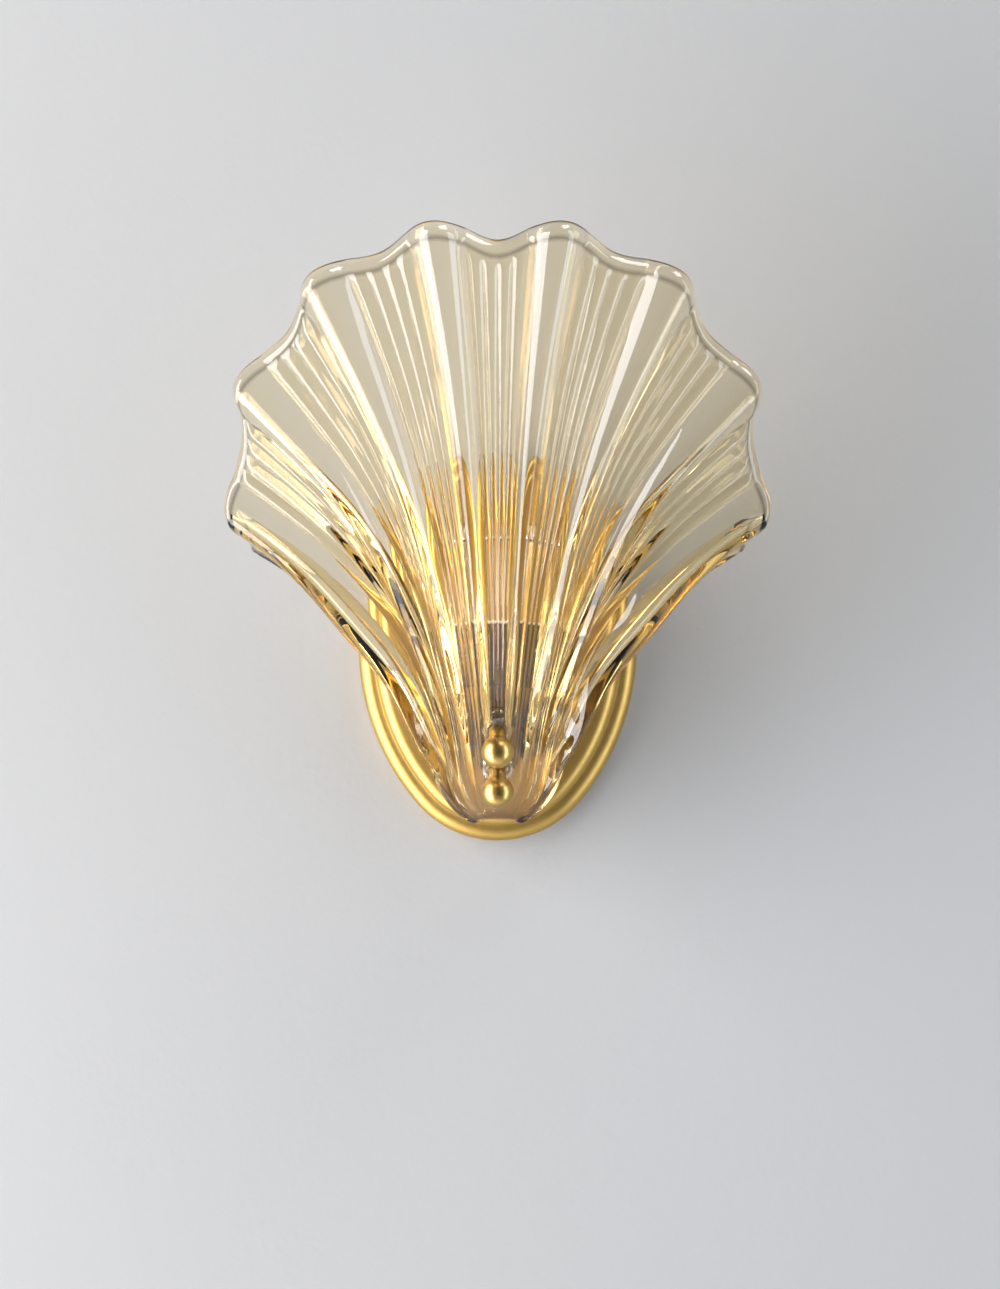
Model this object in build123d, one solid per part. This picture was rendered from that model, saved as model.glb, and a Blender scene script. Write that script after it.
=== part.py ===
from build123d import *
import math
import os

# Frame: origin at the wall, in the middle of the oval backplate. +X right, -Y into the room, +Z up.

# Backplate: a hollow oval pan with two steps
plate_width = 105.0
plate_height = 147.0
end_radius = 40.0           # the oval's arcs at top and bottom
plate_step = 6.0            # how far the raised step stands in from the rim
rim_depth = 11.0
rim_round = 5.0
plate_depth = 18.0
step_round = 4.6
plate_wall = 1.8

# Wall bracket: a steel strip with a tab bent forward at each end
strip_width = 18.0
strip_thick = 1.5
tab_width = 10.0
tab_reach = 7.0
tab_gap = 0.8               # tab to the inside of the backplate's rim
slot_spacing = 60.0
slot_width = 4.5
slot_length = 9.0
cable_bore = 12.0
cable_height = 12.0
side_screw_depth = 3.5      # side screws, out from the wall

# Glass shade, outer face: the tongue at the foot, the neck above it and the flared fan
glass_wall = 5.5
tip_height = -68.2
tip_depth = 23.3            # outer face of the tongue's end, out from the wall
tip_radius = 20.5
tip_flat = 0.9
tongue_half = 21.5
foot_bunching = 0.12        # how far the flutes draw together at the tongue
tongue_tilt = 40.0          # degrees that the tongue leans out from the wall
crown_tilt = 9.6            # the same at the top of the fan
bend_height = -24.0
bend_length = 40.0
neck_curl = 0.021           # hollow of the neck across, 1/mm
fan_curl = 0.0022           # hollow of the fan across, 1/mm
curl_height = 8.0
curl_length = 12.0
fan_height = 52.0           # centre of the scalloped rim
fan_radius = 97.3
fan_shrink = 0.02           # how fast the fan draws in towards its last petals
crown_dip = 6.3
petal_length = 7.0
petal_fade = 0.0045
lobe_count = 8
lobe_angle = 26.0           # degrees from lobe to lobe along the rim
lobe_share = 0.46           # of that pitch, the rest is reeds
lobe_rise = 0.15
lobe_strips = 7
reeds_between = 4
reed_rise = 0.028
neck_relief = 1.0           # how much deeper lobes and reeds are cut towards the neck
foot_fade = 0.2             # share of the flute over which they rise from the tongue
rim_fade = 0.045            # share over which the reeds die out below the rim
edge_trim = 0.15            # of a pitch, off each end
rim_bevel = 0.03            # share of the flute by which the outer face stops short of the inner at the rim
foot_bevel = 0.009          # the same at the tongue's end
rim_lip = 1.6
foot_lip = 0.8

# Shade fixing: two studs, square to the tongue
lower_seat = -45.8
upper_seat = -30.6
stud_size = 4.0
stud_fit = 0.05
glass_hole = 8.0
gasket_size = 11.0
inner_gasket = 1.5
outer_gasket = 1.0
gasket_spigot = 0.9
pad_thick = 4.0
pad_width = 13.0
ball_size = 12.0
neck_size = 6.4
ball_stand = 12.5           # ball centre, out from the glass
stud_grip = 3.0             # stud in the pad
stud_reach = 8.0            # stud beyond the glass

# Arm: a hollow barrel from the backplate, with a boss for the lamp cup
arm_height = -29.0
arm_size = 14.0
arm_flange = 24.0
flange_thick = 2.5
lamp_depth = 40.0
boss_size = 13.0
tube_size = 10.0
tube_bore = 7.0
tube_fit = 0.05
nut_across = 14.0
nut_thick = 3.0
arm_tube_grip = 12.0
cup_tube_grip = 9.0

# Lamp cup, holder and capsule bulb
cup_floor = -14.0
cup_size = 26.0
cup_wall = 1.0
cup_height = 23.0
holder_size = 22.0
holder_height = 20.0
socket_length = 16.4
socket_width = 8.8
socket_depth = 7.0
pin_pitch = 9.0
pin_wire = 1.0
pin_span = 2.6
pin_length = 11.0
pin_room = 0.4
base_length = 15.8
base_width = 8.2
base_height = 13.0
capsule_size = 15.0
capsule_height = 31.0
capsule_wall = 1.0
filament_wire = 0.5
filament_rise = 16.0
filament_span = 7.0
spring_thick = 0.4
spring_gap = 0.08

# Wiring inside the backplate and the arm
block_width = 17.0
block_depth = 11.0
block_height = 13.0
block_centre = -52.0
wire_size = 1.8
wire_spread = 1.4
wire_bend = 5.0
earth_height = -8.0
earth_screw_size = 4.0
earth_head = 7.0
lug_size = 8.0
lug_thick = 0.8

# Fasteners
side_screw_size = 3.0
side_screw_length = 6.4
side_screw_sink = 0.3       # below the rim's face
side_screw_key = 1.5

half_lobe = lobe_share / 2
fan_end = lobe_count / 2 - edge_trim
tongue_slope = math.tan(math.radians(tongue_tilt))
crown_slope = math.tan(math.radians(crown_tilt))
ray_levels = [0, 0.03, 0.09, 0.2, 0.38, 0.6, 0.8, 1 - rim_fade, 1.0]


# ---------------------------------------------------------------- glass shade
def centre_depth(z):
    """How far the middle of the glass stands out from the wall at height z."""
    if z < bend_height:
        return tip_depth + tongue_slope * (z - tip_height)
    run = z - bend_height
    bend = (tongue_slope - crown_slope) * bend_length * (1 - math.exp(-run / bend_length))
    return tip_depth + tongue_slope * (bend_height - tip_height) + crown_slope * run + bend


def glass_depth(x, z):
    """The neck curls hard towards the wall at its sides, and the fan only a little."""
    fade = 1 + math.exp((z - curl_height) / curl_length)
    return centre_depth(z) - (fan_curl + (neck_curl - fan_curl) / fade) * x * x


def from_lobe(u):
    """Distance from the nearest lobe's crest, in lobe pitches. Lobes stand at u = 0.5, 1.5 and so on."""
    return abs((u - 0.5) - round(u - 0.5))


def lobe(u):
    d = from_lobe(u)
    return math.cos(math.pi / 2 * d / half_lobe) if d < half_lobe else 0.0


def reed(u):
    d = from_lobe(u)
    reed_pitch = (1 - lobe_share) / reeds_between
    return 0.0 if d < half_lobe else abs(math.sin(math.pi * (d - half_lobe) / reed_pitch))


def rim_point(u):
    angle = math.radians(lobe_angle * u)
    petal = petal_length * (1 - petal_fade * u**4) * (0.5 - 0.5 * math.cos(2 * math.pi * u))
    radius = fan_radius - fan_shrink * u**4 - crown_dip * math.exp(-((1.6 * u) ** 2)) + petal
    return radius * math.sin(angle), fan_height + radius * math.cos(angle)


def ray(u, t):
    """A point of the plain shell: t runs up a flute from the tongue's end to the rim."""
    outward = u / fan_end
    share = outward * (1 - foot_bunching + foot_bunching * outward**12)
    foot = (tongue_half * share, tip_height + tip_flat)
    tip = rim_point(u)
    chord = math.dist(foot, tip)
    low, high = chord * (0.6 - 0.25 * outward**6), chord * 0.28
    leave = math.radians(8 * math.sin(math.pi * outward))
    arrive = math.radians(17 * u)
    knee = (foot[0] + low * math.sin(leave), foot[1] + low * math.cos(leave))
    hip = (tip[0] - high * math.sin(arrive), tip[1] - high * math.cos(arrive))
    weights = ((1 - t) ** 3, 3 * t * (1 - t) ** 2, 3 * t * t * (1 - t), t**3)
    x = sum(w * p[0] for w, p in zip(weights, (foot, knee, hip, tip)))
    z = sum(w * p[1] for w, p in zip(weights, (foot, knee, hip, tip)))
    rise = min(1.0, (z - tip_height) / tip_radius)
    x *= math.sqrt(1 - (1 - rise) ** 2)
    return Vector(x, -glass_depth(x, z), z)


def skin(u, t, inward, reeded):
    """The plain shell's point moved in by the wall and out by the lobes and reeds, which fade into the tongue."""
    nudge = 1e-4
    u_low, u_high = max(u - nudge, -fan_end), min(u + nudge, fan_end)
    t_low, t_high = max(t - nudge, 0), min(t + nudge, 1)
    across = (ray(u_high, t) - ray(u_low, t)) / (u_high - u_low)
    along = (ray(u, t_high) - ray(u, t_low)) / (t_high - t_low)
    relief = lobe_rise * lobe(u)
    if reeded:
        relief += reed_rise * reed(u) * min(1, (1 - t) / rim_fade)
    cut = across.length * min(1, t / foot_fade) * (1 + neck_relief * (1 - t))
    out = across.cross(along).normalized()
    return ray(u, t) + out * (cut * relief - inward)


def flute_places():
    """Where the flutes' edges run: across each lobe, then two strips to a reed."""
    steps = [-half_lobe + lobe_share * k / lobe_strips for k in range(lobe_strips)]
    reed_strips = 2 * reeds_between
    steps += [half_lobe + (1 - lobe_share) * k / reed_strips for k in range(reed_strips)]
    crests = [k + 0.5 - lobe_count / 2 for k in range(lobe_count)]
    inner = [c + s for c in crests for s in steps if abs(c + s) < fan_end - 0.02]
    return [-fan_end] + inner + [fan_end]


def between(first, second):
    return Face.make_surface_from_curves(first, second)


def make_glass():
    places = flute_places()
    span = 1 - foot_bevel - rim_bevel
    outer = [[skin(u, foot_bevel + span * t, 0, True) for t in ray_levels] for u in places]
    inner = [[skin(u, t, glass_wall, False) for t in ray_levels] for u in places]
    outer_rays = [Edge.make_spline(points) for points in outer]
    inner_rays = [Edge.make_spline(points) for points in inner]
    faces = [between(a, b) for rays in (outer_rays, inner_rays) for a, b in zip(rays, rays[1:])]
    for end, beside, swell in ((0, 1, foot_lip), (-1, -2, rim_lip)):
        lip = []
        for out_ray, in_ray in zip(outer, inner):
            away = (in_ray[end] - in_ray[beside]).normalized()
            lip.append((out_ray[end] + in_ray[end]) * 0.5 + away * swell)
        for k in range(len(places) - 1):
            rows = [Edge.make_line(row[k], row[k + 1]) for row in (
                [ray[end] for ray in outer], lip, [ray[end] for ray in inner])]
            faces += [between(rows[0], rows[1]), between(rows[1], rows[2])]
        for k in (0, -1):
            corners = [outer[k][end], lip[k], inner[k][end]]
            faces.append(Face(Wire.make_polygon(corners, close=True)))
    faces += [between(outer_rays[k], inner_rays[k]) for k in (0, -1)]
    shell = Solid(Shell(Face.sew_faces(faces)[0]))
    for seat in (lower_seat, upper_seat):
        shell -= rod(stud_plane(seat), glass_hole, -2 * glass_wall, glass_wall)
    return shell


# ---------------------------------------------------------------- helpers
def rod(plane, size, start, end):
    """A round bar along the plane's normal, from start to end."""
    return Solid.make_cylinder(size / 2, end - start, plane.offset(start))


def ring(plane, size, bore, start, end):
    return rod(plane, size, start, end) - rod(plane, bore, start - 1, end + 1)


def stud_plane(seat):
    """On the tongue's outer face at a stud, facing out of the glass."""
    tilt = math.radians(tongue_tilt)
    return Plane(
        origin=(0, -centre_depth(seat), seat),
        x_dir=(1, 0, 0),
        z_dir=(0, -math.cos(tilt), -math.sin(tilt)),
    )


def out_plane(x, z):
    """On the wall, facing into the room."""
    return Plane(origin=(x, 0, z), x_dir=(1, 0, 0), z_dir=(0, -1, 0))


def up_plane(z, x=0.0):
    """Level, at height z on the lamp's axis."""
    return Plane(origin=(x, -lamp_depth, z), x_dir=(1, 0, 0), z_dir=(0, 0, 1))


def oval(inset, depth, rounding):
    """The backplate's oval of four arcs, drawn in by inset, with its front edge rounded."""
    half_width, half_height = plate_width / 2, plate_height / 2
    end_centre = half_height - end_radius
    side_radius = (half_width**2 + end_centre**2 - end_radius**2) / (2 * (half_width - end_radius))
    side_centre = side_radius - half_width
    split = math.degrees(math.atan2(end_centre, side_centre))
    small, large = end_radius - inset, side_radius - inset
    arcs = [
        CenterArc((-side_centre, 0), large, -split, 2 * split),
        CenterArc((0, end_centre), small, split, 180 - 2 * split),
        CenterArc((side_centre, 0), large, 180 - split, 2 * split),
        CenterArc((0, -end_centre), small, 180 + split, 180 - 2 * split),
    ]
    body = extrude(out_plane(0, 0) * make_face(arcs), depth)
    front = body.faces().sort_by(Axis.Y)[0]
    return fillet(front.edges(), rounding)


def hex_nut(plane, start):
    outline = plane.offset(start) * RegularPolygon(nut_across / 2, 6, major_radius=False)
    return extrude(outline, nut_thick) - rod(plane, tube_size + 2 * tube_fit, start - 1, start + nut_thick + 1)


def bent_wire(points, size, bend):
    path = FilletPolyline(*points, radius=bend) if len(points) > 2 else Polyline(*points)
    start = Plane(origin=path @ 0, z_dir=path % 0)
    return sweep(start * Circle(size / 2), path=path)


# ---------------------------------------------------------------- wall side
def make_backplate():
    body = oval(0, rim_depth, rim_round) + oval(plate_step, plate_depth, step_round)
    room = oval(plate_wall, rim_depth - plate_wall, rim_round - plate_wall)
    room += oval(plate_step + plate_wall, plate_depth - plate_wall, step_round - plate_wall)
    body -= room
    body -= rod(out_plane(0, arm_height), tube_size + 2 * tube_fit, 0, plate_depth + 1)
    through = Plane(origin=(0, -side_screw_depth, 0), z_dir=(0, 0, 1))
    return body - rod(through, side_screw_size + 0.4, -plate_height, plate_height)


def tab_face():
    """Height of the tabs' outer faces."""
    inner_half = plate_height / 2 - plate_wall
    return inner_half - tab_gap


def make_wall_bracket():
    reach = tab_face()
    strip = Pos(0, -strip_thick / 2, 0) * Box(strip_width, strip_thick, 2 * reach - 2 * strip_thick)
    body = strip
    for side in (-1, 1):
        tab = Box(tab_width, tab_reach, strip_thick)
        body += Pos(0, -tab_reach / 2, side * (reach - strip_thick / 2)) * tab
        slot = extrude(out_plane(0, side * slot_spacing / 2).offset(-1) * Rot(0, 0, 90)
                       * SlotOverall(slot_length, slot_width), strip_thick + 2)
        body -= slot
    body -= rod(out_plane(0, cable_height), cable_bore, -1, strip_thick + 1)
    body -= rod(out_plane(0, earth_height), earth_screw_size + 0.1, -1, strip_thick + 1)
    through = Plane(origin=(0, -side_screw_depth, 0), z_dir=(0, 0, 1))
    return body - rod(through, side_screw_size + 2 * stud_fit, -plate_height, plate_height)


def make_side_screws():
    """Headless screws, one below and one above, through the backplate's rim into the bracket's tabs."""
    screws = []
    for side in (-1, 1):
        plane = Plane(origin=(0, -side_screw_depth, side * plate_height / 2), z_dir=(0, 0, side))
        body = rod(plane, side_screw_size, -side_screw_length, -side_screw_sink)
        key = plane.offset(-side_screw_sink - 1.5) * RegularPolygon(side_screw_key / 2, 6, major_radius=False)
        screws.append(body - extrude(key, 2))
    return Compound(screws)


def make_terminal_block():
    body = Pos(0, -strip_thick - block_depth / 2, block_centre) * Box(block_width, block_depth, block_height)
    body = fillet(body.edges().filter_by(Axis.Z), 1.0)
    for pole in (-1, 0, 1):
        well = out_plane(pole * block_width / 3.2, block_centre)
        body -= rod(well, 3.2, strip_thick + block_depth - 3.0, strip_thick + block_depth + 1)
    return body


def make_terminal_screws():
    screws = []
    for pole in (-1, 0, 1):
        plane = out_plane(pole * block_width / 3.2, block_centre)
        top = strip_thick + block_depth
        screws.append(rod(plane, 3.0, top - 3.0, top - 1.0))
    return Compound(screws)


def make_earth_screw():
    plane = out_plane(0, earth_height)
    head_base = strip_thick + lug_thick
    head = chamfer(rod(plane, earth_head, head_base, head_base + 2.2).edges().sort_by(Axis.Y)[0], 0.8)
    return head + rod(plane, earth_screw_size, 0, head_base)


def make_earth_lug():
    plane = out_plane(0, earth_height)
    body = ring(plane, lug_size, earth_screw_size + 0.4, strip_thick, strip_thick + lug_thick)
    barrel_top = earth_height - lug_size / 2 + 0.6
    foot = Pos(0, -strip_thick - lug_thick / 2, barrel_top - 2.5) * Box(3.0, lug_thick, 5.0)
    crimp = Plane(origin=(0, -strip_thick - 1.5, barrel_top - 5.5), z_dir=(0, 0, 1))
    return body + foot + rod(crimp, 3.0, 0, 3.5)


# ---------------------------------------------------------------- arm
def make_arm():
    barrel = rod(out_plane(0, arm_height), arm_size, plate_depth, lamp_depth + arm_size)
    flange = rod(out_plane(0, arm_height), arm_flange, plate_depth, plate_depth + flange_thick)
    flange = chamfer(flange.edges().sort_by(Axis.Y)[0], flange_thick * 0.5)
    boss = rod(up_plane(0), boss_size, arm_height, cup_floor)
    pad_top = -(glass_wall + inner_gasket)
    middle = stud_plane((lower_seat + upper_seat) / 2)
    spacing = (upper_seat - lower_seat) / math.cos(math.radians(tongue_tilt))
    outline = SlotCenterToCenter(spacing, pad_width)
    pad = extrude(middle.offset(pad_top - pad_thick) * Rot(0, 0, 90) * outline, pad_thick)
    beyond = extrude(middle.offset(pad_top - pad_thick / 2) * Rectangle(200, 200), 60)
    body = (barrel + boss) - beyond + flange + pad
    body -= rod(out_plane(0, arm_height), tube_bore, plate_depth - 1, lamp_depth)
    body -= rod(up_plane(0), tube_bore, arm_height, cup_floor + 1)
    body -= Pos(0, -lamp_depth, arm_height) * Sphere(tube_bore / 2)
    body -= rod(out_plane(0, arm_height), tube_size + 2 * tube_fit, plate_depth - 1, plate_depth + arm_tube_grip)
    body -= rod(up_plane(0), tube_size + 2 * tube_fit, cup_floor - cup_tube_grip, cup_floor + 1)
    for seat in (lower_seat, upper_seat):
        body -= rod(stud_plane(seat), stud_size + 2 * stud_fit, pad_top - stud_grip, pad_top + 1)
    return body


def make_arm_tube():
    back = plate_depth - plate_wall - nut_thick - 1.0
    return ring(out_plane(0, arm_height), tube_size, tube_bore, back, plate_depth + arm_tube_grip)


def make_arm_nut():
    return hex_nut(out_plane(0, arm_height), plate_depth - plate_wall - nut_thick)


def make_shade_studs():
    low = -(glass_wall + inner_gasket + stud_grip)
    return Compound([rod(stud_plane(seat), stud_size, low, stud_reach) for seat in (lower_seat, upper_seat)])


def make_gaskets(glass, inside):
    """Soft washers that follow the glass, with a spigot that centres each hole on its stud."""
    pieces = []
    for seat in (lower_seat, upper_seat):
        plane = stud_plane(seat)
        bore = stud_size + 0.6
        face = -(glass_wall + inner_gasket)
        if inside:
            blank = ring(plane, gasket_size, bore, face, gasket_spigot - glass_wall)
        else:
            blank = ring(plane, gasket_size, bore, -gasket_spigot, outer_gasket)
        cut = blank - glass
        pieces.append(max(cut.solids(), key=lambda s: s.volume))
    return Compound(pieces)


def make_finial(seat):
    plane = stud_plane(seat)
    ball = plane.offset(ball_stand) * Sphere(ball_size / 2)
    neck = rod(plane, neck_size, outer_gasket, ball_stand)
    body = ball + neck
    return body - rod(plane, stud_size + 2 * stud_fit, outer_gasket - 1, stud_reach + 1.0)


# ---------------------------------------------------------------- lamp
def make_lamp_cup():
    plane = up_plane(0)
    body = rod(plane, cup_size, cup_floor, cup_floor + cup_height)
    body = fillet(body.edges().sort_by(Axis.Z)[0], 2.0)
    body -= rod(plane, cup_size - 2 * cup_wall, cup_floor + cup_wall, cup_floor + cup_height + 1)
    return body - rod(plane, tube_size + 2 * tube_fit, cup_floor - 1, cup_floor + 2)


def make_cup_tube():
    return ring(up_plane(0), tube_size, tube_bore, cup_floor - cup_tube_grip,
                cup_floor + cup_wall + nut_thick)


def make_cup_nut():
    return hex_nut(up_plane(0), cup_floor + cup_wall)


def holder_base():
    return cup_floor + cup_wall + nut_thick


def socket_floor():
    return holder_base() + holder_height - socket_depth


def make_lamp_holder():
    plane = up_plane(0)
    body = rod(plane, holder_size, holder_base(), holder_base() + holder_height)
    body = chamfer(body.edges().sort_by(Axis.Z)[-1], 0.8)
    socket = up_plane(socket_floor()) * RectangleRounded(socket_length, socket_width, 2.0)
    body -= extrude(socket, socket_depth + 1)
    slot_deep = pin_length + 1.0
    slot_long = pin_span + pin_wire + 2 * pin_room
    slot_wide = pin_wire + 2 * pin_room
    for side in (-1, 1):
        slot = up_plane(socket_floor() - slot_deep, side * pin_pitch / 2) * Rectangle(slot_wide, slot_long)
        body -= extrude(slot, slot_deep + 1)
    return body


def make_contact_springs():
    """Thin strips that stand in the pin slots, against their outer walls."""
    strips = []
    height = pin_length - 2.0
    for side in (-1, 1):
        inner = pin_pitch / 2 + pin_wire / 2 + spring_gap
        outer = pin_pitch / 2 + pin_wire / 2 + pin_room
        thick = outer - inner
        box = Box(thick, pin_span, height)
        middle = socket_floor() - pin_length - 1.0 + height / 2
        strips.append(Pos(side * (inner + outer) / 2, -lamp_depth, middle) * box)
    return Compound(strips)


def make_bulb_base():
    outline = up_plane(socket_floor()) * RectangleRounded(base_length, base_width, 1.8)
    body = extrude(outline, base_height)
    return fillet(body.faces().sort_by(Axis.Z)[-1].edges(), 1.0)


def make_bulb_pins():
    """Each pin is a loop of wire that hangs from the base."""
    loops = []
    top = socket_floor()
    low = top - pin_length + pin_wire / 2
    for side in (-1, 1):
        x = side * pin_pitch / 2
        near, far = -lamp_depth - pin_span / 2, -lamp_depth + pin_span / 2
        points = [(x, near, top), (x, near, low), (x, far, low), (x, far, top)]
        loops.append(bent_wire(points, pin_wire, pin_span * 0.45).solid())
    return Compound(loops)


def make_bulb_capsule():
    foot = socket_floor() + base_height
    dome_height = foot + capsule_height - capsule_size / 2
    outer = rod(up_plane(0), capsule_size, foot, dome_height)
    outer += Pos(0, -lamp_depth, dome_height) * Sphere(capsule_size / 2)
    inner_size = capsule_size - 2 * capsule_wall
    inner = rod(up_plane(0), inner_size, foot - 1, dome_height)
    cone = Solid.make_cone(inner_size / 2, inner_size / 6, inner_size * 0.42, up_plane(dome_height))
    return outer - inner - cone


def make_bulb_filament():
    foot = socket_floor() + base_height
    half = filament_span / 2
    top = foot + filament_rise
    points = [(-half, -lamp_depth, foot), (-half, -lamp_depth, top),
              (half, -lamp_depth, top), (half, -lamp_depth, foot)]
    frame = bent_wire(points, filament_wire, 1.5)
    coil = Plane(origin=(-half * 0.45, -lamp_depth, top), z_dir=(1, 0, 0))
    return frame + rod(coil, filament_wire * 3.4, 0, half * 0.9)


# ---------------------------------------------------------------- wires
def lamp_wire(side):
    """From the terminal block, through the arm's tube and bore, up to the lamp holder."""
    x = side * wire_spread
    depth = strip_thick + block_depth / 2
    top = block_centre + block_height / 2
    points = [(side * block_width / 3.2, -depth, top), (side * block_width / 3.2, -depth, top + 4),
              (x, -depth, arm_height), (x, -lamp_depth, arm_height), (x, -lamp_depth, holder_base())]
    return bent_wire(points, wire_size, wire_bend)


def earth_wire():
    depth = strip_thick + block_depth / 2
    top = block_centre + block_height / 2
    crimp = earth_height - lug_size / 2 + 0.6 - 5.5
    points = [(0, -depth, top), (0, -depth, top + 5), (0, -strip_thick - 1.5, crimp - 6),
              (0, -strip_thick - 1.5, crimp)]
    return bent_wire(points, wire_size, wire_bend)


def make_parts():
    glass = make_glass()
    return {
        "wall_bracket": make_wall_bracket(),
        "backplate": make_backplate(),
        "side_screws": make_side_screws(),
        "terminal_block": make_terminal_block(),
        "terminal_screws": make_terminal_screws(),
        "earth_screw": make_earth_screw(),
        "earth_lug": make_earth_lug(),
        "earth_wire": earth_wire(),
        "live_wire": lamp_wire(-1),
        "neutral_wire": lamp_wire(1),
        "arm": make_arm(),
        "arm_tube": make_arm_tube(),
        "arm_nut": make_arm_nut(),
        "shade_studs": make_shade_studs(),
        "inner_gaskets": make_gaskets(glass, True),
        "glass_shade": glass,
        "outer_gaskets": make_gaskets(glass, False),
        "upper_finial": make_finial(upper_seat),
        "lower_finial": make_finial(lower_seat),
        "lamp_cup": make_lamp_cup(),
        "cup_tube": make_cup_tube(),
        "cup_nut": make_cup_nut(),
        "lamp_holder": make_lamp_holder(),
        "contact_springs": make_contact_springs(),
        "bulb_base": make_bulb_base(),
        "bulb_pins": make_bulb_pins(),
        "bulb_capsule": make_bulb_capsule(),
        "bulb_filament": make_bulb_filament(),
    }


os.makedirs("parts", exist_ok=True)
for name, shape in make_parts().items():
    export_step(shape, f"parts/{name}.step")
    print(name, round(shape.volume), "mm3")
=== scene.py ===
import math

import bmesh
import bpy
from mathutils import Matrix, Vector
from mathutils.kdtree import KDTree


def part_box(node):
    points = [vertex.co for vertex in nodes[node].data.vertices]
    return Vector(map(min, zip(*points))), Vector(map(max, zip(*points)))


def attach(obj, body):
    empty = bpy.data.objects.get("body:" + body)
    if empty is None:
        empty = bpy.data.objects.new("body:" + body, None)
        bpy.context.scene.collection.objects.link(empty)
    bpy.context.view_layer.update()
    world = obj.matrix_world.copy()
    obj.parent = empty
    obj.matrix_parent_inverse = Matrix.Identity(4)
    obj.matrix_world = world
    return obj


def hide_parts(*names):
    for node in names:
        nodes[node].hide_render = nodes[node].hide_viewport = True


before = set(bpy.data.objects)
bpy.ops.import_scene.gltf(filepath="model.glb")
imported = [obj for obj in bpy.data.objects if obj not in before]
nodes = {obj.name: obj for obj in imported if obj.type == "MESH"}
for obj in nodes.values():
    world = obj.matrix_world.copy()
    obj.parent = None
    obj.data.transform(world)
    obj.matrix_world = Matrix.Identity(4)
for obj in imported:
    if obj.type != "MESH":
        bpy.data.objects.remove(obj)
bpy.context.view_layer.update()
scene = bpy.context.scene
mm = 0.001
weldGap = 1e-6


def newObject(name, mesh, body):
    piece = bpy.data.objects.new(name, mesh)
    scene.collection.objects.link(piece)
    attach(piece, body)
    return piece


def toMesh(bm, name):
    for face in bm.faces:
        face.smooth = True
    mesh = bpy.data.meshes.new(name)
    bm.to_mesh(mesh)
    bm.free()
    return mesh


def spinProfile(profile, steps, origin, axis, start=None):
    # a lathe: profile holds (radius, height) pairs along the axis, in mm
    bm = bmesh.new()
    axis = Vector(axis).normalized()
    side = Vector(start) if start else axis.orthogonal()
    side = (side - axis * side.dot(axis)).normalized()
    last = None
    for radius, height in profile:
        vert = bm.verts.new((Vector(origin) + side * radius + axis * height) * mm)
        if last:
            bm.edges.new((last, vert))
        last = vert
    bmesh.ops.spin(bm, geom=bm.verts[:] + bm.edges[:], cent=Vector(origin) * mm, axis=axis,
                   angle=math.tau, steps=steps, use_merge=True)
    bmesh.ops.remove_doubles(bm, verts=bm.verts, dist=weldGap)
    bmesh.ops.recalc_face_normals(bm, faces=bm.faces)
    return bm


def arcPoints(centre, radius, startDeg, endDeg, count):
    # points of an arc in (radius, height), without its first one
    points = []
    for k in range(1, count + 1):
        a = math.radians(startDeg + (endDeg - startDeg) * k / count)
        points.append((centre[0] + radius * math.cos(a), centre[1] + radius * math.sin(a)))
    return points


def newMaterial(name):
    mat = bpy.data.materials.new(name)
    mat.use_nodes = True
    tree = mat.node_tree
    shader = tree.nodes["Principled BSDF"]
    return mat, tree, shader


def addNoise(tree, scale, detail, stretch=(1, 1, 1)):
    coords = tree.nodes.new("ShaderNodeTexCoord")
    mapping = tree.nodes.new("ShaderNodeMapping")
    mapping.inputs["Scale"].default_value = stretch
    noise = tree.nodes.new("ShaderNodeTexNoise")
    noise.inputs["Scale"].default_value = scale
    noise.inputs["Detail"].default_value = detail
    tree.links.new(coords.outputs["Object"], mapping.inputs["Vector"])
    tree.links.new(mapping.outputs["Vector"], noise.inputs["Vector"])
    return noise


def addRamp(tree, source, low, high, lowAt=0.3, highAt=0.7):
    ramp = tree.nodes.new("ShaderNodeValToRGB")
    ramp.color_ramp.elements[0].position = lowAt
    ramp.color_ramp.elements[1].position = highAt
    ramp.color_ramp.elements[0].color = low
    ramp.color_ramp.elements[1].color = high
    tree.links.new(source, ramp.inputs["Fac"])
    return ramp


def addBump(tree, shader, source, strength, distance):
    bump = tree.nodes.new("ShaderNodeBump")
    bump.inputs["Strength"].default_value = strength
    bump.inputs["Distance"].default_value = distance
    tree.links.new(source, bump.inputs["Height"])
    tree.links.new(bump.outputs["Normal"], shader.inputs["Normal"])


def mixShaders(tree, share, first, second):
    mix = tree.nodes.new("ShaderNodeMixShader")
    tree.links.new(share, mix.inputs["Fac"])
    tree.links.new(first.outputs["BSDF"], mix.inputs[1])
    tree.links.new(second.outputs["BSDF"], mix.inputs[2])
    tree.links.new(mix.outputs["Shader"], tree.nodes["Material Output"].inputs["Surface"])


def metalFinish(name, dark, light, roughLow, roughHigh, grainScale, stretch, bump):
    mat, tree, shader = newMaterial(name)
    shader.inputs["Metallic"].default_value = 1.0
    cloud = addNoise(tree, grain["cloud"], grain["cloudDetail"])
    tint = addRamp(tree, cloud.outputs["Fac"], (*dark, 1), (*light, 1))
    tree.links.new(tint.outputs["Color"], shader.inputs["Base Color"])
    fine = addNoise(tree, grainScale, grain["fineDetail"], stretch)
    rough = addRamp(tree, fine.outputs["Fac"], (roughLow,) * 3 + (1,), (roughHigh,) * 3 + (1,))
    tree.links.new(rough.outputs["Color"], shader.inputs["Roughness"])
    addBump(tree, shader, fine.outputs["Fac"], bump, grain["metalDepth"])
    return mat


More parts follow.
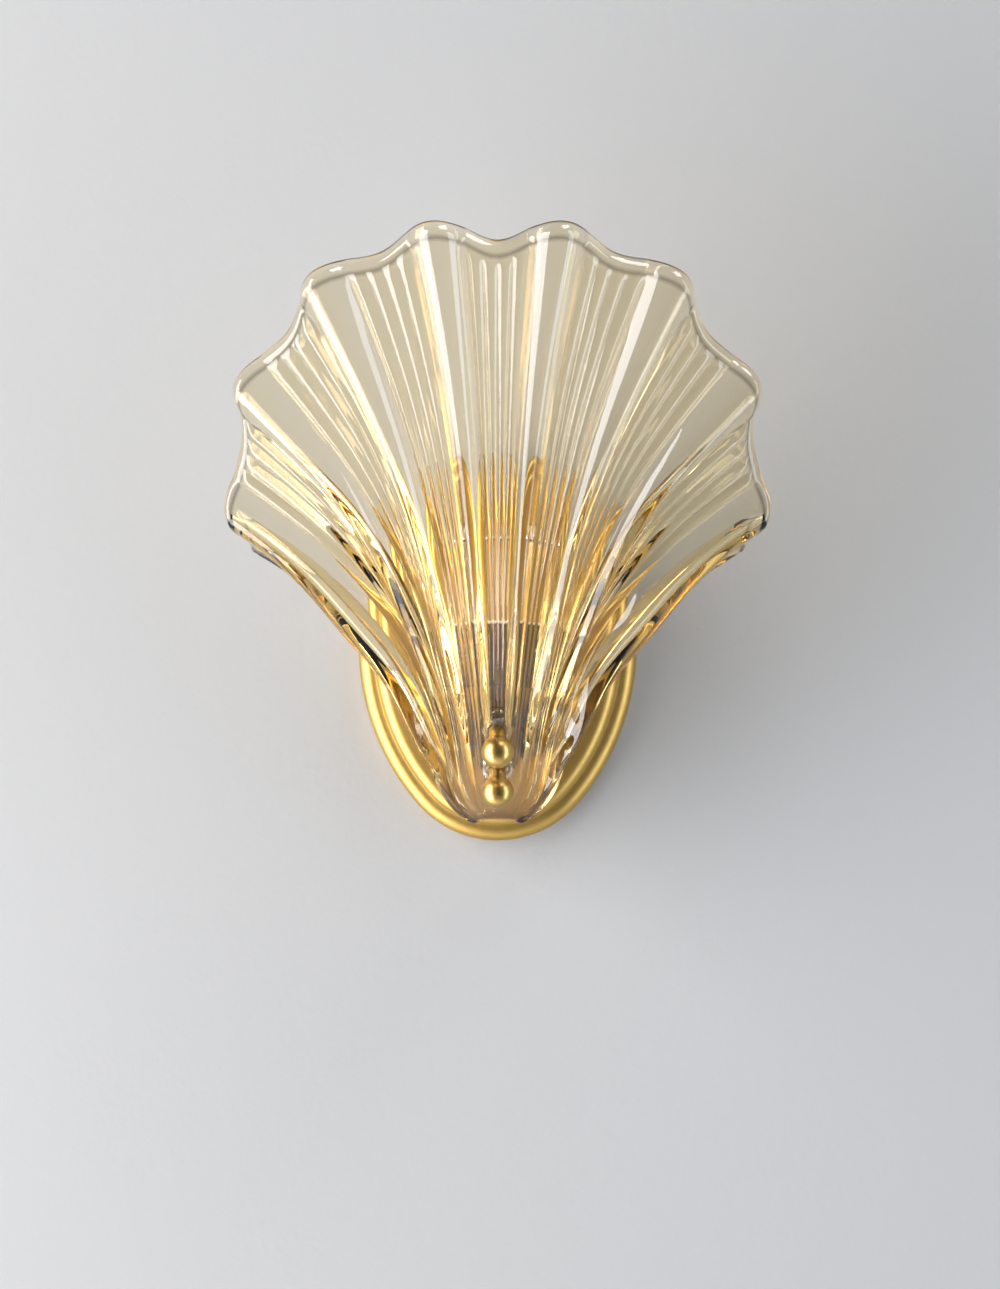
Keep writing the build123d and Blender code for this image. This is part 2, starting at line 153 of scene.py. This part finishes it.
def plainFinish(name, dark, light, rough, scale, bump, coat):
    mat, tree, shader = newMaterial(name)
    cloud = addNoise(tree, scale, grain["plainDetail"])
    tint = addRamp(tree, cloud.outputs["Fac"], (*dark, 1), (*light, 1))
    tree.links.new(tint.outputs["Color"], shader.inputs["Base Color"])
    shader.inputs["Roughness"].default_value = rough
    shader.inputs["Coat Weight"].default_value = coat
    shader.inputs["Coat Roughness"].default_value = grain["coatRough"]
    addBump(tree, shader, cloud.outputs["Fac"], bump, grain["plainDepth"])
    return mat


# depths are in metres
grain = {
    "cloud": 35, "cloudDetail": 4, "fineDetail": 6, "plainDetail": 5,
    "metalDepth": 0.00004, "plainDepth": 0.00005, "coatRough": 0.08,
}
# darkest and lightest colour, least and most roughness, grain scale and stretch, bump
metals = {
    "satinBrass": ((0.47, 0.305, 0.085), (0.57, 0.375, 0.11), 0.40, 0.52, 900, (1, 1, 1), 0.16),
    # painted shade: this brass is darkened far below the plate's, standing in for the shade that the
    # arm and lamp cup lie in behind the glass
    "shadeDarkBrass": ((0.085, 0.050, 0.025), (0.125, 0.078, 0.036), 0.34, 0.50, 600, (1, 1, 1), 0.10),
    "ballBrass": ((0.44, 0.29, 0.085), (0.54, 0.36, 0.115), 0.29, 0.38, 900, (1, 1, 1), 0.10),
    "zincSteel": ((0.44, 0.45, 0.46), (0.58, 0.59, 0.60), 0.28, 0.45, 500, (1, 1, 6), 0.10),
    "brightSteel": ((0.62, 0.62, 0.61), (0.74, 0.74, 0.73), 0.14, 0.26, 700, (1, 1, 1), 0.05),
}
# darkest and lightest colour, roughness, cloud scale, bump, coat
plains = {
    "whiteCeramic": ((0.74, 0.72, 0.67), (0.82, 0.80, 0.75), 0.35, 180, 0.06, 0.5),
    "whitePlastic": ((0.72, 0.72, 0.69), (0.80, 0.80, 0.77), 0.48, 300, 0.08, 0.0),
    "brownCover": ((0.10, 0.045, 0.02), (0.14, 0.065, 0.03), 0.5, 400, 0.1, 0.0),
    "blueCover": ((0.02, 0.07, 0.30), (0.03, 0.10, 0.38), 0.5, 400, 0.1, 0.0),
    "greenCover": ((0.10, 0.27, 0.04), (0.45, 0.42, 0.03), 0.5, 260, 0.1, 0.0),
}
looks = {name: metalFinish(name, *values) for name, values in metals.items()}
looks.update({name: plainFinish(name, *values) for name, values in plains.items()})
print("metals, plastics and ceramic made")


def clearFinish(name, tint, rough, ior, shade, waveScale, waveBump):
    mat, tree, shader = newMaterial(name)
    shader.inputs["Base Color"].default_value = (*tint, 1)
    shader.inputs["Transmission Weight"].default_value = 1.0
    shader.inputs["Roughness"].default_value = rough
    shader.inputs["IOR"].default_value = ior
    wave = addNoise(tree, waveScale, glass["waveDetail"])
    addBump(tree, shader, wave.outputs["Fac"], waveBump, glass["waveDepth"])
    # shadow rays go straight through, tinted, so that the glass casts a pale shadow
    see = tree.nodes.new("ShaderNodeBsdfTransparent")
    see.inputs["Color"].default_value = (*shade, 1)
    ray = tree.nodes.new("ShaderNodeLightPath")
    mixShaders(tree, ray.outputs["Is Shadow Ray"], shader, see)
    return mat


def deepenGlass(mat):
    # the longer the way through the glass, the deeper its colour
    tree = mat.node_tree
    volume = tree.nodes.new("ShaderNodeVolumeAbsorption")
    volume.inputs["Color"].default_value = (*glass["absorb"], 1)
    volume.inputs["Density"].default_value = glass["density"]
    tree.links.new(volume.outputs["Volume"], tree.nodes["Material Output"].inputs["Volume"])
    # painted shade: a dark brown line painted along the edge, standing in for the dark outline that
    # refraction throws there
    shader = tree.nodes["Principled BSDF"]
    shadeMask = tree.nodes.new("ShaderNodeAttribute")
    shadeMask.attribute_name = "edgeShadeMask"
    tint = shader.inputs["Base Color"].default_value[:]
    blend = addRamp(tree, shadeMask.outputs["Fac"], tint, (*glass["edgeShadeColour"], 1), 0.0, 1.0)
    tree.links.new(blend.outputs["Color"], shader.inputs["Base Color"])


glass = {
    "absorb": (0.90, 0.70, 0.10), "density": 78, "edgeShadeColour": (0.06, 0.04, 0.03),
    "waveDetail": 2, "waveDepth": 0.0004,
}
# tint, roughness, index of refraction, shade of the shadow, wave scale, bump
clears = {
    "shellGlass": ((0.99, 0.97, 0.94), 0.0, 1.5, (0.45, 0.44, 0.43), 22, 0.25),
    "bulbGlass": ((0.99, 0.99, 0.99), 0.0, 1.47, (0.85, 0.85, 0.85), 60, 0.05),
    "softPad": ((0.93, 0.93, 0.91), 0.25, 1.41, (0.9, 0.9, 0.9), 120, 0.1),
}
looks.update({name: clearFinish(name, *values) for name, values in clears.items()})
deepenGlass(looks["shellGlass"])
print("glass made")


# the glass shell is two grids bent to its faces and bridged round the edge
# lengths in mm and angles in degrees; u counts lobes from the middle, t runs from foot to rim
shell = {
    "wall": 5.5, "hole": 8.0, "holeDepth": 30, "lowerSeat": -45.8, "upperSeat": -30.6,
    # the tongue and the flutes' way up from it
    "tipHeight": -68.2, "tipDepth": 23.3, "tipRadius": 20.5, "tipFlat": 0.9, "tongueHalf": 21.5,
    "bunching": 0.12, "footPull": 0.6, "sidePull": 0.25, "rimPull": 0.28, "leave": 8, "arrive": 17,
    # how far it stands out, up its middle and across
    "tongueTilt": 40.0, "crownTilt": 9.6, "bendHeight": -24.0, "bendLength": 40.0,
    "neckCurl": 0.021, "fanCurl": 0.0022, "curlHeight": 8.0, "curlLength": 12.0,
    # the rim seen from the front
    "fanHeight": 52.0, "fanRadius": 97.3, "fanShrink": 0.02, "crownDip": 6.3, "dipSpread": 1.6,
    "petal": 7.0, "petalFade": 0.0045, "lobes": 8, "lobeAngle": 26.0, "edge": 3.85,
    # lobes and reeds across the flutes
    "halfLobe": 0.23, "lobeRise": 0.15, "reeds": 4, "reedRise": 0.028, "neckRelief": 1.0,
    "footFade": 0.2, "rimBand": 0.028, "bandSlope": 0.02,
    "reedStart": 0.2, "reedFull": 0.55, "reedLeast": 0.45,
    # bevels and lips round the edge
    "rimBevel": 0.03, "footBevel": 0.009, "lip": 1.9, "footLip": 1.0, "sideLip": 1.6,
    # the grid
    "lobeCells": 12, "reedCells": 6, "rows": 100, "lipCells": 8, "creaseStart": 0.08,
}
# painted shade: how dark the painted edge line is on the rows along the edge: on the outer face's
# border, and two rows behind it
edgeShadeLevels = {"border": 0.8, "line": 1.0, "beside": 0.25}
# shares of a flute close to its ends, from which the way out over the edge is taken
nearFoot, nearRim = 0.01, 0.985
tongueSlope = math.tan(math.radians(shell["tongueTilt"]))
crownSlope = math.tan(math.radians(shell["crownTilt"]))


def centreDepth(z):
    s = shell
    if z < s["bendHeight"]:
        return s["tipDepth"] + tongueSlope * (z - s["tipHeight"])
    run = z - s["bendHeight"]
    bend = (tongueSlope - crownSlope) * s["bendLength"] * (1 - math.exp(-run / s["bendLength"]))
    return s["tipDepth"] + tongueSlope * (s["bendHeight"] - s["tipHeight"]) + crownSlope * run + bend


def shellDepth(x, z):
    s = shell
    fade = 1 + math.exp((z - s["curlHeight"]) / s["curlLength"])
    return centreDepth(z) - (s["fanCurl"] + (s["neckCurl"] - s["fanCurl"]) / fade) * x * x


def fromLobe(u):
    return abs((u - 0.5) - round(u - 0.5))


def lobeHeight(u):
    d = fromLobe(u)
    return math.cos(math.pi / 2 * d / shell["halfLobe"]) if d < shell["halfLobe"] else 0.0


def reedHeight(u):
    d = fromLobe(u)
    if d < shell["halfLobe"]:
        return 0.0
    pitch = (1 - 2 * shell["halfLobe"]) / shell["reeds"]
    return abs(math.sin(math.pi * (d - shell["halfLobe"]) / pitch))


def easeIn(share):
    share = min(1.0, max(0.0, share))
    return share * share * (3 - 2 * share)


def rimPoint(u):
    s = shell
    angle = math.radians(s["lobeAngle"] * u)
    dip = s["crownDip"] * math.exp(-((s["dipSpread"] * u) ** 2))
    radius = s["fanRadius"] - s["fanShrink"] * u**4 - dip
    radius += s["petal"] * (1 - s["petalFade"] * u**4) * (0.5 - 0.5 * math.cos(math.tau * u))
    return radius * math.sin(angle), s["fanHeight"] + radius * math.cos(angle)


def shellRay(u, t):
    s = shell
    outward = u / s["edge"]
    share = outward * (1 - s["bunching"] + s["bunching"] * outward**12)
    foot = (s["tongueHalf"] * share, s["tipHeight"] + s["tipFlat"])
    tip = rimPoint(u)
    chord = math.dist(foot, tip)
    low = chord * (s["footPull"] - s["sidePull"] * outward**6)
    high = chord * s["rimPull"]
    leave = math.radians(s["leave"] * math.sin(math.pi * outward))
    arrive = math.radians(s["arrive"] * u)
    knee = (foot[0] + low * math.sin(leave), foot[1] + low * math.cos(leave))
    hip = (tip[0] - high * math.sin(arrive), tip[1] - high * math.cos(arrive))
    weights = ((1 - t) ** 3, 3 * t * (1 - t) ** 2, 3 * t * t * (1 - t), t**3)
    x = sum(w * p[0] for w, p in zip(weights, (foot, knee, hip, tip)))
    z = sum(w * p[1] for w, p in zip(weights, (foot, knee, hip, tip)))
    rise = min(1.0, (z - s["tipHeight"]) / s["tipRadius"])
    x *= math.sqrt(1 - (1 - rise) ** 2)
    return Vector((x, -shellDepth(x, z), z))


def shellSkin(u, t, inward, reeded):
    nudge = 1e-4
    uLow, uHigh = max(u - nudge, -shell["edge"]), min(u + nudge, shell["edge"])
    tLow, tHigh = max(t - nudge, 0), min(t + nudge, 1)
    across = (shellRay(uHigh, t) - shellRay(uLow, t)) / (uHigh - uLow)
    along = (shellRay(u, tHigh) - shellRay(u, tLow)) / (tHigh - tLow)
    relief = shell["lobeRise"] * lobeHeight(u)
    if reeded:
        # the reeds stop short of the rim's smooth band and sink away into the neck
        share = easeIn((1 - shell["rimBand"] - t) / shell["bandSlope"])
        fade = easeIn((t - shell["reedStart"]) / (shell["reedFull"] - shell["reedStart"]))
        share *= shell["reedLeast"] + (1 - shell["reedLeast"]) * fade
        relief += shell["reedRise"] * reedHeight(u) * share
    cut = across.length * min(1, t / shell["footFade"]) * (1 + shell["neckRelief"] * (1 - t))
    out = across.cross(along).normalized()
    return shellRay(u, t) + out * (cut * relief - inward)


def flutePlaces():
    # where the grid's columns stand, with one on every crease
    h, pitch = shell["halfLobe"], (1 - 2 * shell["halfLobe"]) / shell["reeds"]
    steps = [-h + 2 * h * k / shell["lobeCells"] for k in range(shell["lobeCells"])]
    count = shell["reeds"] * shell["reedCells"]
    steps += [h + pitch * k / shell["reedCells"] for k in range(count)]
    crests = [k + 0.5 - shell["lobes"] / 2 for k in range(shell["lobes"])]
    inner = [c + step for c in crests for step in steps if abs(c + step) < shell["edge"] - 0.005]
    return [-shell["edge"]] + inner + [shell["edge"]]


def isCrease(u):
    d = fromLobe(u) - shell["halfLobe"]
    pitch = (1 - 2 * shell["halfLobe"]) / shell["reeds"]
    return d > -1e-6 and abs(d / pitch - round(d / pitch)) < 1e-4


def outerStep(u, t, beside, before):
    return (shellSkin(u, t, 0, True) - shellSkin(beside, before, 0, True)).normalized()


def lipSwell(places, k, r, slant):
    # which way and how far the edge swells there, square to its slanted end face
    u, t = places[k], min(r / shell["rows"], nearRim)
    out = Vector((0, 0, 0))
    if r == shell["rows"]:
        out += outerStep(u, 1, u, nearRim)
    if r == 0:
        out += outerStep(u, 0, u, nearFoot)
    if k in (0, len(places) - 1):
        out += outerStep(u, t, places[1] if k == 0 else places[-2], t)
    slant = slant.normalized()
    out = (out - slant * out.dot(slant)).normalized()
    reach = shell["lip"] if r == shell["rows"] else shell["footLip"] if r == 0 else shell["sideLip"]
    return out * reach


def buildShell():
    places = flutePlaces()
    columns, rows = len(places) - 1, shell["rows"]
    bm = bmesh.new()
    column = bm.verts.layers.int.new("column")
    row = bm.verts.layers.int.new("row")
    side = bm.verts.layers.int.new("side")
    shadeMask = bm.verts.layers.float.new("edgeShadeMask")
    for which, inward in ((1, 0.0), (2, shell["wall"])):
        fresh = bmesh.ops.create_grid(bm, x_segments=columns, y_segments=rows, size=1)["verts"]
        # the outer face stops short of the inner at the rim and at the tongue's end
        low, high = (shell["footBevel"], 1 - shell["rimBevel"]) if which == 1 else (0.0, 1.0)
        for vert in fresh:
            k, r = round((vert.co.x + 1) / 2 * columns), round((vert.co.y + 1) / 2 * rows)
            vert[column], vert[row], vert[side] = k, r, which
            vert.co = shellSkin(places[k], low + (high - low) * r / rows, inward, which == 1) * mm
    for edge in bm.edges:
        a, b = edge.verts
        k = a[column]
        past = a[row] > rows * shell["creaseStart"] and 0 < k < columns
        if a[side] == 1 and k == b[column] and past:
            edge.smooth = not isCrease(places[k])
    rims = [e for e in bm.edges if len(e.link_faces) == 1]
    bridge = bmesh.ops.bridge_loops(bm, edges=rims)
    across = [e for f in bridge["faces"] for e in f.edges if e.verts[0][side] != e.verts[1][side]]
    across = list(set(across))
    cells = shell["lipCells"]
    samples = []
    for edge in across:
        outer = edge.verts[0] if edge.verts[0][side] == 1 else edge.verts[1]
        inner = edge.other_vert(outer)
        swell = lipSwell(places, outer[column], outer[row], outer.co - inner.co)
        for k in range(1, cells):
            samples.append((outer.co.lerp(inner.co, k / cells), k / cells, swell))
    cut = bmesh.ops.subdivide_edges(bm, edges=across, cuts=cells - 1, use_grid_fill=False)
    fresh = [g for g in cut["geom_inner"] if isinstance(g, bmesh.types.BMVert)]
    kd = KDTree(len(samples))
    for index, (point, share, swell) in enumerate(samples):
        kd.insert(point, index)
    kd.balance()
    # painted shade: the lip's rows at the edge's crest get the painted dark edge line
    shadeLevels = {cells - 1: edgeShadeLevels["line"], cells - 2: edgeShadeLevels["beside"]}
    for vert in fresh:
        index = kd.find(vert.co)[1]
        share, swell = samples[index][1], samples[index][2]
        vert.co += swell * (mm * math.sqrt(max(0.0, 1 - (2 * share - 1) ** 2)))
        vert[shadeMask] = shadeLevels.get(round(share * cells), 0.0)
    # the outer face's border at the rim and the tongue's end is creased sharp and also carries painted
    # edge shade
    for edge in bm.edges:
        a, b = edge.verts
        if a[side] == 1 and b[side] == 1 and a[row] == b[row] and a[row] in (0, rows):
            edge.smooth = False
            a[shadeMask] = b[shadeMask] = edgeShadeLevels["border"]
    bmesh.ops.recalc_face_normals(bm, faces=bm.faces)
    return bm


def studPlace(seat):
    tilt = math.radians(shell["tongueTilt"])
    return Vector((0, -centreDepth(seat), seat)), Vector((0, -math.cos(tilt), -math.sin(tilt)))


holeSides = 48


def drillHoles(piece, places, diameter, depth):
    # round holes through a piece, each at a point and along a direction
    radius = diameter / 2 * mm
    for point, out in places:
        bm = bmesh.new()
        bmesh.ops.create_cone(bm, cap_ends=True, segments=holeSides, radius1=radius, radius2=radius,
                              depth=depth * mm)
        turn = Vector((0, 0, 1)).rotation_difference(out).to_matrix().to_4x4()
        bmesh.ops.transform(bm, matrix=Matrix.Translation(point * mm) @ turn, verts=bm.verts)
        drill = bpy.data.objects.new("drill", toMesh(bm, "drill"))
        scene.collection.objects.link(drill)
        cut = piece.modifiers.new("cut", "BOOLEAN")
        cut.operation = "DIFFERENCE"
        cut.solver = "EXACT"
        cut.object = drill
        bpy.context.view_layer.update()
        drilled = piece.evaluated_get(bpy.context.evaluated_depsgraph_get())
        piece.data = bpy.data.meshes.new_from_object(drilled)
        piece.modifiers.clear()
        bpy.data.objects.remove(drill)


def dress(mesh, look):
    mesh.materials.clear()
    mesh.materials.append(looks[look])


glassShell = newObject("glassShell", toMesh(buildShell(), "glassShell"), "fixture")
studPlaces = [studPlace(shell["lowerSeat"]), studPlace(shell["upperSeat"])]
drillHoles(glassShell, studPlaces, shell["hole"], shell["holeDepth"])
dress(glassShell.data, "shellGlass")
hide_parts("glass_shade")
print("glass shell made:", len(glassShell.data.polygons), "faces")


# the backplate is spun, then drawn out to the oval

plate = {
    "width": 105.0, "height": 147.0, "endRadius": 40.0, "rimDepth": 11.0, "rimRound": 5.0, "step": 6.0,
    "depth": 18.0, "stepRound": 4.6, "wall": 1.8, "steps": 192, "armHeight": -29.0, "armHole": 6.0,
    "screwDepth": 3.5, "screwHole": 3.4, "screwReach": 8,
    # small roundings, and where the rim's arc ends at the crease below the step
    "edgeBreak": 0.4, "backBreak": 0.3, "creaseWidth": 0.35, "rimSweep": 84, "flat": 12,
    "outerCells": 12, "innerCells": 8, "sharpFrom": 38,
    # the slant at which the oval's flat side arcs meet its small end arcs
    "sideSlant": 0.62,
}


def ovalPoint(around, inset):
    halfWidth, halfHeight, small = plate["width"] / 2, plate["height"] / 2, plate["endRadius"]
    endCentre = halfHeight - small
    large = (halfWidth**2 + endCentre**2 - small**2) / (2 * (halfWidth - small))
    sideCentre = large - halfWidth
    split = math.atan2(endCentre, sideCentre)
    x, z = math.cos(around), math.sin(around)
    slant = math.atan2(abs(z), abs(x))
    meet = plate["sideSlant"]
    # spread the angles so that both kinds of arc get a fair share
    if slant < meet:
        angle = slant / meet * split
        px, pz = (large - inset) * math.cos(angle) - sideCentre, (large - inset) * math.sin(angle)
    else:
        angle = split + (slant - meet) / (math.pi / 2 - meet) * (math.pi / 2 - split)
        px, pz = (small - inset) * math.cos(angle), endCentre + (small - inset) * math.sin(angle)
    return math.copysign(px, x), math.copysign(pz, z)


def plateProfile(halfWidth):
    # out from the wall over the rim and the step, and back along the inside
    r, d, w = plate["rimRound"], plate["rimDepth"], plate["wall"]
    sr, sd = plate["stepRound"], plate["depth"]
    crisp, crease = plate["edgeBreak"], plate["creaseWidth"]
    inset = halfWidth - plate["step"]
    outer = [(halfWidth - crisp, 0.0), (halfWidth, crisp), (halfWidth, d - r)]
    outer += arcPoints((halfWidth - r, d - r), r, 0, plate["rimSweep"], plate["outerCells"])
    outer += [(inset + crease, d - 0.02), (inset + 0.08, d + 0.08), (inset, d + crease)]
    outer += [(inset, sd - sr)] + arcPoints((inset - sr, sd - sr), sr, 0, 90, plate["outerCells"])
    outer += [(inset - sr - plate["flat"], sd), (plate["armHole"], sd)]
    inner = [(plate["armHole"], sd - w), (inset - sr, sd - w)]
    inner += arcPoints((inset - sr, sd - sr), sr - w, 90, 0, plate["innerCells"])
    inner += [(inset - w, d - w), (halfWidth - r, d - w)]
    inner += arcPoints((halfWidth - r, d - r), r - w, 90, 0, plate["innerCells"])
    inner += [(halfWidth - w, crisp), (halfWidth - w + plate["backBreak"], 0.0)]
    return outer + inner + [outer[0]]


def makeBackplate():
    halfWidth = plate["width"] / 2
    bm = spinProfile(plateProfile(halfWidth), plate["steps"], (0, 0, 0), (0, -1, 0), (1, 0, 0))
    for vert in bm.verts:
        around = math.atan2(vert.co.z, vert.co.x)
        reach = math.hypot(vert.co.x, vert.co.z) / mm
        if reach < plate["armHole"] + 1:
            vert.co.z += plate["armHeight"] * mm
        else:
            vert.co.x, vert.co.z = (c * mm for c in ovalPoint(around, halfWidth - reach))
    bm.normal_update()
    for edge in bm.edges:
        edge.smooth = edge.calc_face_angle(0) < math.radians(plate["sharpFrom"])
    return bm


plateMesh = toMesh(makeBackplate(), "backplateShell")
backplate = newObject("backplateShell", plateMesh, "fixture")
screwPlaces = [(Vector((0, -plate["screwDepth"], side * plate["height"] / 2)), Vector((0, 0, 1)))
               for side in (-1, 1)]
drillHoles(backplate, screwPlaces, plate["screwHole"], plate["screwReach"])
dress(backplate.data, "satinBrass")
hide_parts("backplate")
print("backplate made")


finial = {
    "ball": 12.0, "neck": 6.4, "stand": 12.5, "pad": 1.0, "stud": 2.05, "bore": 9.0,
    "neckBreak": 0.3, "flareStart": 0.9, "flare": 0.05, "joinGap": 3, "ballCells": 28, "steps": 64,
}


def makeFinial(seat):
    point, out = studPlace(seat)
    neck, ball, stand = finial["neck"] / 2, finial["ball"] / 2, finial["stand"]
    crisp, bore, stud, pad = finial["neckBreak"], finial["bore"], finial["stud"], finial["pad"]
    join = math.degrees(math.asin(neck / ball))
    # the blind bore for the stud, the seat, the neck and then the ball
    profile = [(0.0, bore), (stud, bore), (stud, pad), (neck - crisp, pad), (neck, pad + crisp)]
    start = stand - ball * math.cos(math.radians(join))
    profile += [(neck, start - finial["flareStart"]),
                (neck + finial["flare"], start - finial["flareStart"] / 2)]
    first, cells = join + finial["joinGap"], finial["ballCells"]
    for k in range(1, cells):
        a = math.radians(first + (180 - first) * k / cells)
        profile.append((ball * math.sin(a), stand - ball * math.cos(a)))
    profile.append((0.0, stand + ball))
    return spinProfile(profile, finial["steps"], point, out)


for name, seat in (("upper_finial", shell["upperSeat"]), ("lower_finial", shell["lowerSeat"])):
    mesh = toMesh(makeFinial(seat), name + "Ball")
    dress(mesh, "ballBrass")
    piece = newObject(name + "Ball", mesh, name)
    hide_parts(name)
print("finials made")


filament = {
    "lead": 0.4, "leadBend": 2.5, "coilWire": 0.2, "coil": 1.5, "turns": 11, "turnCells": 8,
    "coilHalf": 2.0, "solidCoil": 1.7,
}


def wireMesh(name, points, diameter):
    # a round wire along a smooth line through a few points, in mm
    curve = bpy.data.curves.new(name, "CURVE")
    curve.dimensions = "3D"
    curve.bevel_depth = diameter / 2 * mm
    curve.bevel_resolution = 2
    curve.resolution_u = 3
    curve.use_fill_caps = True
    spline = curve.splines.new("NURBS")
    spline.points.add(len(points) - 1)
    for point, place in zip(spline.points, points):
        point.co = (*(Vector(place) * mm), 1)
    spline.order_u = 3
    spline.use_endpoint_u = True
    carrier = bpy.data.objects.new(name, curve)
    mesh = bpy.data.meshes.new_from_object(carrier)
    bpy.data.objects.remove(carrier)
    return mesh


def makeFilament():
    low, high = (Vector(corner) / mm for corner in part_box("bulb_filament"))
    across, depth = high.x - filament["lead"] / 2, (low.y + high.y) / 2
    top, half = high.z - filament["solidCoil"] / 2, filament["coilHalf"]
    bm = bmesh.new()
    for side in (-1, 1):
        lead = [(side * across, depth, low.z), (side * across, depth, top - filament["leadBend"]),
                (side * across, depth, top), (side * half, depth, top)]
        bm.from_mesh(wireMesh("lead", lead, filament["lead"]))
    reach, cells = filament["coil"] / 2, filament["turnCells"]
    steps = filament["turns"] * cells
    turns = []
    for k in range(steps + 1):
        a, along = math.tau * k / cells, -half + 2 * half * k / steps
        turns.append((along, depth + reach * math.sin(a), top + reach * math.cos(a)))
    bm.from_mesh(wireMesh("coil", turns, filament["coilWire"]))
    return bm


coil = newObject("filamentCoil", toMesh(makeFilament(), "filamentCoil"), "bulb")
dress(coil.data, "brightSteel")
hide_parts("bulb_filament")
print("filament made")


# the CAD's own nodes
nodeLooks = {
    "wall_bracket": "zincSteel", "side_screws": "satinBrass", "terminal_block": "whitePlastic",
    "terminal_screws": "brightSteel", "earth_screw": "brightSteel", "earth_lug": "brightSteel",
    "earth_wire": "greenCover", "live_wire": "brownCover", "neutral_wire": "blueCover",
    # the arm and the lamp cup take the brass darkened as painted shade
    "arm": "shadeDarkBrass", "arm_tube": "zincSteel", "arm_nut": "zincSteel", "shade_studs": "brightSteel",
    "inner_gaskets": "softPad", "outer_gaskets": "softPad", "lamp_cup": "shadeDarkBrass",
    "cup_tube": "zincSteel", "cup_nut": "zincSteel", "lamp_holder": "whiteCeramic",
    "contact_springs": "brightSteel", "bulb_base": "bulbGlass", "bulb_pins": "brightSteel",
    "bulb_capsule": "bulbGlass",
}
for name, look in nodeLooks.items():
    dress(nodes[name].data, look)
print("CAD nodes finished")


view = {"place": (0.0009, -1.70, 0.0005), "width": 0.379, "sensor": 36}
cameraData = bpy.data.cameras.new("camera")
cameraData.sensor_fit = "HORIZONTAL"
cameraData.sensor_width = view["sensor"]
cameraData.lens = view["sensor"] * -view["place"][1] / view["width"]
camera = bpy.data.objects.new("camera", cameraData)
camera.location = view["place"]
camera.rotation_euler = (math.radians(90), 0, 0)
scene.collection.objects.link(camera)
scene.camera = camera

room = {
    "wall": (0.345, 0.345, 0.34), "wallRough": 0.85, "wallGrain": 350, "wallBump": 0.25,
    "wallDepth": 0.0003, "wallPlace": (0, 0.0006, 0.6), "wallSize": 3.0,
    "floor": (0.80, 0.80, 0.79), "floorRough": 0.9, "floorPlace": (0, 0, -1.6), "floorSize": 4.0,
    "air": (0.50, 0.49, 0.48), "airStrength": 0.14,
}


def stagePlane(name, size, place, turn, material):
    bm = bmesh.new()
    bmesh.ops.create_grid(bm, x_segments=2, y_segments=2, size=size)
    matrix = Matrix.Translation(place) @ Matrix.Rotation(math.radians(turn), 4, "X")
    bmesh.ops.transform(bm, matrix=matrix, verts=bm.verts)
    mesh = toMesh(bm, name)
    mesh.materials.append(material)
    plane = bpy.data.objects.new(name, mesh)
    scene.collection.objects.link(plane)


def paintFinish(name, colour, rough):
    mat, tree, shader = newMaterial(name)
    shader.inputs["Base Color"].default_value = (*colour, 1)
    shader.inputs["Roughness"].default_value = rough
    return mat, tree, shader


def wallFinish():
    mat, tree, shader = paintFinish("wallPaint", room["wall"], room["wallRough"])
    rough = addNoise(tree, room["wallGrain"], 3)
    addBump(tree, shader, rough.outputs["Fac"], room["wallBump"], room["wallDepth"])
    # from behind, the wall lets the view through, and it lets the rear lamp's light in
    back = tree.nodes.new("ShaderNodeNewGeometry")
    ray = tree.nodes.new("ShaderNodeLightPath")
    either = tree.nodes.new("ShaderNodeMath")
    either.operation = "MAXIMUM"
    tree.links.new(back.outputs["Backfacing"], either.inputs[0])
    tree.links.new(ray.outputs["Is Shadow Ray"], either.inputs[1])
    see = tree.nodes.new("ShaderNodeBsdfTransparent")
    mixShaders(tree, either.outputs["Value"], shader, see)
    return mat


floorPaint = paintFinish("floorPaint", room["floor"], room["floorRough"])[0]
stagePlane("wallStage", room["wallSize"], room["wallPlace"], 90, wallFinish())
stagePlane("floorStage", room["floorSize"], room["floorPlace"], 0, floorPaint)

# name, place, aim, width, height, watts, colour
lamps = [
    ("leftBox", (-1.25, -0.60, -0.15), (0, 0, -0.05), 1.00, 2.7, 88, (0.99, 0.98, 1.0)),
    ("rightBox", (1.30, -0.62, 0.0), (0, 0, 0.0), 0.55, 2.2, 21, (0.78, 0.86, 1.0)),
    ("topBox", (0.75, -0.45, 1.5), (0.3, 0, 0.0), 0.9, 0.6, 17, (0.95, 0.97, 1.0)),
    ("rearBox", (0.0, 1.3, 0.0), (0, 0, 0.0), 0.9, 0.9, 14, (1.0, 1.0, 1.0)),
]
for name, place, aim, width, height, watts, colour in lamps:
    data = bpy.data.lights.new(name, "AREA")
    data.shape = "RECTANGLE"
    data.size = width
    data.size_y = height
    data.energy = watts
    data.color = colour
    light = bpy.data.objects.new(name, data)
    light.location = place
    light.rotation_euler = (Vector(aim) - Vector(place)).to_track_quat("-Z", "Y").to_euler()
    scene.collection.objects.link(light)

world = bpy.data.worlds.new("room")
world.use_nodes = True
backdrop = world.node_tree.nodes["Background"]
backdrop.inputs["Color"].default_value = (*room["air"], 1)
backdrop.inputs["Strength"].default_value = room["airStrength"]
scene.world = world
scene.view_settings.view_transform = "Standard"
print("camera, lights and stage made")
